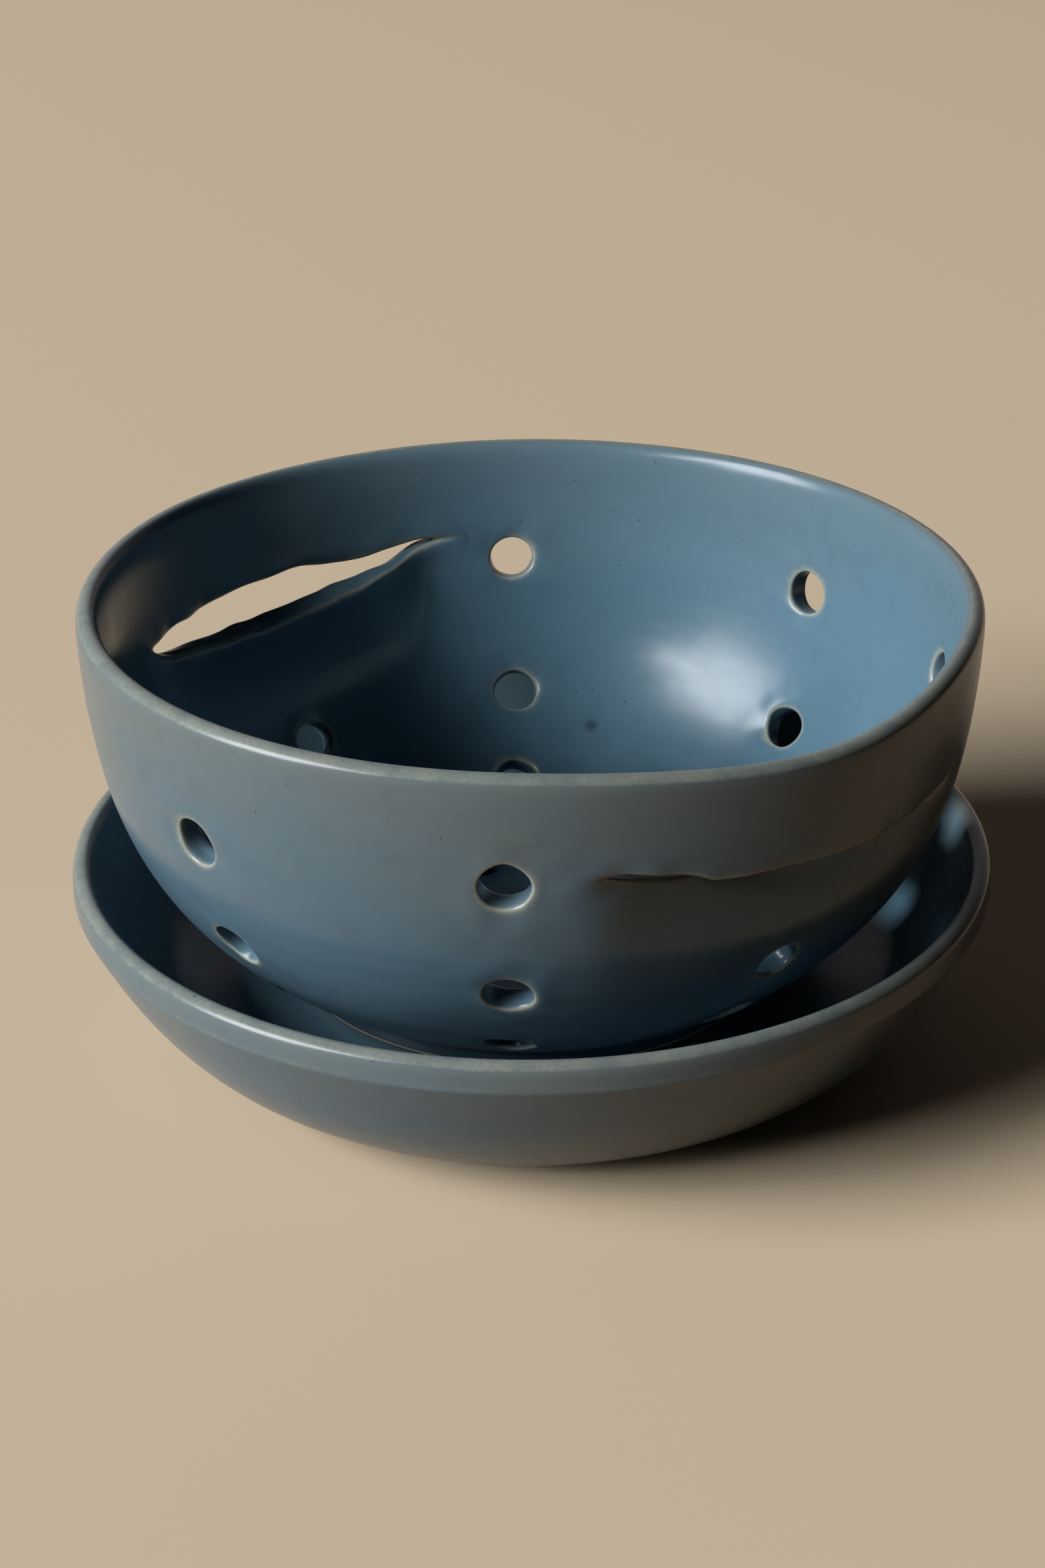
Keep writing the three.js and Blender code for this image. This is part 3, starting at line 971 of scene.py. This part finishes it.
def dripped(sizes, spot):
    """A point of the finished saucer with the run of glaze that set low on its front."""
    aside = wrapped(math.atan2(spot.y, spot.x) - sizes.drip_angle) * math.hypot(spot.x, spot.y)
    apart = math.hypot(aside / sizes.drip_width, (spot.z - sizes.drip_rise) / sizes.drip_height)
    outwards = Vector((spot.x, spot.y, 0.0)).normalized()
    return spot + outwards * (sizes.drip * math.exp(-(2 * apart) ** 2))


class Value:
    """A socket of a material's nodes; arithmetic on it adds Math nodes."""

    def __init__(self, paint, socket):
        self.paint = paint
        self.socket = socket

    def _math(self, operation, first, second):
        return self.paint.node("ShaderNodeMath", {"operation": operation}, {0: first, 1: second})

    def __add__(self, other):
        return self._math("ADD", self, other)

    def __sub__(self, other):
        return self._math("SUBTRACT", self, other)

    def __rsub__(self, other):
        return self._math("SUBTRACT", other, self)

    def __mul__(self, other):
        return self._math("MULTIPLY", self, other)

    def __truediv__(self, other):
        return self._math("DIVIDE", self, other)

    __radd__ = __add__
    __rmul__ = __mul__

    def rising(self, low, high):
        """0 below low, 1 above high and smooth between them; with low above high it falls."""
        settings = {"interpolation_type": "SMOOTHSTEP"}
        inputs = {"Value": self, "From Min": low, "From Max": high}
        return self.paint.node("ShaderNodeMapRange", settings, inputs)

    def swing(self, amount):
        """A noise about its middle, drawn out to this amount."""
        return (self - NOISE_MIDDLE) * amount


class Paint:
    """The nodes of a material or a world."""

    def __init__(self, owner, shader="Principled BSDF", place="Object"):
        owner.use_nodes = True
        self.owner = owner
        self.tree = owner.node_tree
        self.surface = self.tree.nodes[shader]
        self.place = self.node("ShaderNodeTexCoord", output=place)

    def node(self, kind, settings=None, inputs=None, output=0):
        """Adds a node, sets it up, feeds its sockets and returns one of its outputs."""
        node = self.tree.nodes.new(kind)
        for name, value in (settings or {}).items():
            setattr(node, name, value)
        for name, value in (inputs or {}).items():
            self.feed(node.inputs[name], value)
        return Value(self, node.outputs[output])

    def feed(self, socket, value):
        if isinstance(value, Value):
            self.tree.links.new(value.socket, socket)
        elif socket.type == "RGBA":
            socket.default_value = (*value[:3], 1.0)
        else:
            socket.default_value = value

    def noise(self, size, detail, stretch=(1.0, 1.0, 1.0)):
        """Noise whose patches are about this size across, and flatter along an axis of larger stretch."""
        inputs = {"Vector": self.place, "Scale": stretch}
        spread = self.node("ShaderNodeMapping", {"vector_type": "POINT"}, inputs)
        inputs = {"Vector": spread, "Scale": 1 / size, "Detail": detail}
        return self.node("ShaderNodeTexNoise", None, inputs)

    def dots(self, spacing, size, kept):
        """Round dots of about this size, one to a cell of the spacing, of which only a share is kept."""
        cells = {"Vector": self.place, "Scale": 1 / spacing}
        apart = self.node("ShaderNodeTexVoronoi", None, cells, "Distance")
        chance = self.node("ShaderNodeTexVoronoi", None, cells, "Color")
        chosen = self.node("ShaderNodeSeparateColor", None, {"Color": chance}, "Red")
        vary = self.node("ShaderNodeSeparateColor", None, {"Color": chance}, "Green")
        reach = (vary * DOT_VARIES + DOT_LEAST) * (size / 2 / spacing)
        inside = (apart / reach).rising(*DOT_RIM)
        return inside * chosen.rising(kept + CHANCE_BLUR, kept - CHANCE_BLUR)

    def apart(self, spot):
        """Distance from a spot on the piece."""
        inputs = {0: self.place, 1: spot}
        return self.node("ShaderNodeVectorMath", {"operation": "DISTANCE"}, inputs, "Value")

    def mix(self, first, second, factor):
        """A colour between two colours."""
        inputs = {MIX_FACTOR: factor, MIX_FIRST: first, MIX_SECOND: second}
        return self.node("ShaderNodeMix", {"data_type": "RGBA"}, inputs, MIX_RESULT)

    def ray(self, kind):
        """1 for rays of this kind, 0 for others."""
        return self.node("ShaderNodeLightPath", None, None, kind)

    def attribute(self, name):
        """One of the marks on the piece's vertices."""
        return self.node("ShaderNodeAttribute", {"attribute_name": name}, None, "Fac")

    def bump(self, height):
        """A normal from a height in metres."""
        return self.node("ShaderNodeBump", None, {"Height": height, "Distance": 1.0, "Strength": 1.0})

    def finish(self, sockets):
        """Feeds the shader's own sockets and returns what is painted."""
        for name, value in sockets.items():
            self.feed(self.surface.inputs[name], value)
        return self.owner


def slate_glaze(name, colours, low, high):
    """Satin glaze: blue where it lies thick, grey green towards the rim, breaking to the clay on edges,
    darker towards the foot as pooled glaze and painted shade, and bluer inside as painted light.
    """
    paint = Paint(bpy.data.materials.new(name))
    height = paint.node("ShaderNodeSeparateXYZ", None, {"Vector": paint.place}, "Z")
    thin = paint.attribute("thin")
    inner = paint.attribute("inner")
    clouds = paint.noise(**CLOUDS)
    mottle = paint.noise(**MOTTLE)
    grain = paint.noise(**GRAIN)
    rings = paint.noise(**THROWING_RINGS)
    specks = paint.dots(**SPECKS)
    flecks = paint.dots(**FLECKS)
    rise = (height - low) / (high - low) + clouds.swing(CLOUD_SHIFT)
    misty = rise.rising(*MIST_RISE) * (1 - inner * MIST_LOST_INSIDE)
    # Pooled glaze and painted shade darken the glaze towards the foot; the mottle adds stain
    pooling_and_shade = rise.rising(*POOL_AND_SHADE_RISE) * POOL_AND_SHADE_COVER + mottle.rising(*STAIN_RISE) * STAIN_COVER
    edge = (thin + mottle.swing(MOTTLE_FRAY) + grain.swing(GRAIN_FRAY)).rising(*BREAK_RISE)
    spot = paint.apart(POOLED_SPOT).rising(POOLED_SPOT_REACH, 0.0)
    # Painted light: inside, the glaze takes the bluer inside colour and loses most of its mist
    tone = paint.mix(paint.mix(colours.slate, colours.inside, inner), colours.mist, misty)
    tone = paint.mix(tone, colours.pooled_blue_and_shade, pooling_and_shade)
    tone = paint.mix(tone, colours.break_tan, edge * EDGE_COVER)
    tone = paint.mix(tone, colours.pooled_blue_and_shade, spot * SPOT_COVER)
    tone = paint.mix(tone, colours.speck, specks * SPECK_COVER)
    tone = paint.mix(tone, colours.fleck, flecks * FLECK_COVER)
    rough = GLAZE_ROUGHNESS + mottle.swing(MOTTLE_ROUGHNESS) + grain.swing(GRAIN_ROUGHNESS)
    relief = rings * RING_RELIEF + mottle * MOTTLE_RELIEF + grain * GRAIN_RELIEF - flecks * PINHOLE_DEPTH
    return paint.finish({
        "Base Color": tone,
        "Roughness": rough,
        "Normal": paint.bump(relief),
        "IOR": GLAZE_IOR,
    })


def bare_clay(colours):
    """Unglazed buff stoneware."""
    paint = Paint(bpy.data.materials.new("bare_clay"))
    mottle = paint.noise(**CLAY_MOTTLE)
    grain = paint.noise(**CLAY_GRAIN)
    pale = mottle.rising(*CLAY_PALE_RISE) * CLAY_PALE_COVER
    tone = paint.mix(colours.clay, colours.break_tan, pale)
    tone = paint.mix(tone, colours.speck, paint.dots(**CLAY_SPECKS) * CLAY_SPECK_COVER)
    relief = (mottle + grain) * CLAY_RELIEF
    rough = CLAY_ROUGHNESS + grain.swing(CLAY_ROUGHNESS_VARIES)
    return paint.finish({"Base Color": tone, "Roughness": rough, "Normal": paint.bump(relief)})


def pale_floor(stage):
    """A pale floor to look at, which throws only a little warm light back on the pots."""
    paint = Paint(bpy.data.materials.new("pale_floor"))
    seen = paint.ray("Is Camera Ray") + paint.ray("Is Glossy Ray") + paint.ray("Is Transmission Ray")
    tone = paint.mix(stage.floor_bounce, stage.floor, seen)
    rough = FLOOR_ROUGHNESS + paint.noise(**FLOOR_MOTTLE).swing(FLOOR_ROUGHNESS_VARIES)
    return paint.finish({"Base Color": tone, "Roughness": rough, "Specular IOR Level": 0.0})


def settled(piece, base, body, node):
    """Puts a finished piece in the place of its solid, at that solid's base height."""
    piece.data.transform(Matrix.Translation((0.0, 0.0, base)))
    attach(piece, body)
    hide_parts(node)


class BERRY_BOWL_OT_saucer(bpy.types.Operator):
    """Throw and glaze the drip saucer"""

    bl_idname = "berry_bowl.saucer"
    bl_label = "Throw the saucer"

    def execute(self, context):
        settings = context.scene.berry_bowl
        glaze = slate_glaze("saucer_glaze", settings.glaze, SAUCER_LOW.z, SAUCER_HIGH.z)
        piece = thrown_saucer(settings.saucer, [glaze, bare_clay(settings.glaze)])
        settled(piece, SAUCER_LOW.z, "saucer", "drip_saucer")
        return {"FINISHED"}


class BERRY_BOWL_OT_bowl(bpy.types.Operator):
    """Throw, drill, slit and glaze the colander bowl"""

    bl_idname = "berry_bowl.bowl"
    bl_label = "Throw the bowl"

    def execute(self, context):
        settings = context.scene.berry_bowl
        glaze = slate_glaze("bowl_glaze", settings.glaze, BOWL_LOW.z, BOWL_HIGH.z)
        piece = ColanderBowl(settings).made([glaze, bare_clay(settings.glaze)])
        settled(piece, BOWL_LOW.z, "bowl", "colander_bowl")
        return {"FINISHED"}


class BERRY_BOWL_OT_stage(bpy.types.Operator):
    """Set the floor, the light and the camera"""

    bl_idname = "berry_bowl.stage"
    bl_label = "Set the stage"

    def execute(self, context):
        stage = context.scene.berry_bowl.stage
        self.lay_floor(context, stage)
        self.light(context, stage)
        self.aim(context, stage)
        context.scene.view_settings.view_transform = "Standard"
        return {"FINISHED"}

    def lay_floor(self, context, stage):
        mesh = bmesh.new()
        bmesh.ops.create_grid(mesh, x_segments=FLOOR_GRID, y_segments=FLOOR_GRID, size=FLOOR_REACH)
        data = bpy.data.meshes.new("floor")
        mesh.to_mesh(data)
        mesh.free()
        data.materials.append(pale_floor(stage))
        floor = bpy.data.objects.new("floor", data)
        context.scene.collection.objects.link(floor)

    def hang(self, context, stage, name):
        """Hangs one area light by its own settings, facing the pots."""
        azimuth, rise, width, height, watts = (getattr(stage, f"{name}_{size}") for size in LIGHT_SIZES)
        level = math.cos(rise)
        towards = Vector((math.cos(azimuth) * level, math.sin(azimuth) * level, math.sin(rise)))
        lamp = bpy.data.lights.new(name, "AREA")
        lamp.shape = "RECTANGLE"
        lamp.size = width
        lamp.size_y = height
        lamp.energy = watts
        lamp.color = stage.light_colour
        light = bpy.data.objects.new(name, lamp)
        light.location = Vector((0.0, 0.0, CAD_BOX[1].z / 2)) + towards * stage.light_distance
        light.rotation_euler = towards.to_track_quat("Z", "Y").to_euler()
        context.scene.collection.objects.link(light)

    def light(self, context, stage):
        """Hangs the window and its pane, and sets the soft light round them."""
        self.hang(context, stage, "window")
        self.hang(context, stage, "pane")
        context.scene.world = bpy.data.worlds.new("surroundings")
        sky = Paint(context.scene.world, "Background", "Generated")
        across = sky.node("ShaderNodeSeparateXYZ", None, {"Vector": sky.place}, "X")
        behind = sky.node("ShaderNodeSeparateXYZ", None, {"Vector": sky.place}, "Y")
        sides = sky.mix(stage.near_sky, stage.far_sky, across.rising(*NEAR_TO_FAR))
        sky.finish({"Color": sky.mix(sides, stage.back_light, behind.rising(*BACK_LIGHT_EDGE))})

    def aim(self, context, stage):
        """Sets the camera in its place, turned, tilted and leaning as the stage says."""
        level, fall = math.cos(stage.pitch), math.sin(stage.pitch)
        forward = Vector((math.sin(stage.yaw) * level, math.cos(stage.yaw) * level, -fall))
        right = Vector((math.cos(stage.yaw), -math.sin(stage.yaw), 0.0))
        up = right.cross(forward)
        lean = Matrix.Rotation(-stage.roll, 3, forward)
        axes = Matrix((lean @ right, lean @ up, -forward)).transposed().to_4x4()
        data = bpy.data.cameras.new("camera")
        data.lens = stage.lens
        data.sensor_width = SENSOR_MM
        data.clip_start = CLIP_START
        camera = bpy.data.objects.new("camera", data)
        camera.matrix_world = Matrix.Translation(stage.camera) @ axes
        context.scene.collection.objects.link(camera)
        context.scene.camera = camera


class BERRY_BOWL_PT_panel(bpy.types.Panel):
    """Sizes, colours and operators of the berry bowl"""

    bl_idname = "BERRY_BOWL_PT_panel"
    bl_label = "Berry bowl"
    bl_space_type = "VIEW_3D"
    bl_region_type = "UI"
    bl_category = "Berry bowl"

    def draw(self, context):
        settings = context.scene.berry_bowl
        for operator in OPERATORS:
            self.layout.operator(operator.bl_idname)
        for name in settings.__annotations__:
            group = getattr(settings, name)
            box = self.layout.box()
            box.label(text=name.title())
            for size in group.__annotations__:
                box.prop(group, size)


OPERATORS = (BERRY_BOWL_OT_saucer, BERRY_BOWL_OT_bowl, BERRY_BOWL_OT_stage)
CLASSES = (
    BowlSizes,
    SaucerSizes,
    HandleSizes,
    DrainSizes,
    GlazeColours,
    StageSizes,
    BerryBowlSettings,
    *OPERATORS,
    BERRY_BOWL_PT_panel,
)


def register():
    for cls in CLASSES:
        bpy.utils.register_class(cls)
    bpy.types.Scene.berry_bowl = PointerProperty(type=BerryBowlSettings)


def unregister():
    del bpy.types.Scene.berry_bowl
    for cls in reversed(CLASSES):
        bpy.utils.unregister_class(cls)


def main():
    register()
    bpy.ops.berry_bowl.stage()
    bpy.ops.berry_bowl.saucer()
    bpy.ops.berry_bowl.bowl()


if __name__ == "__main__":
    main()
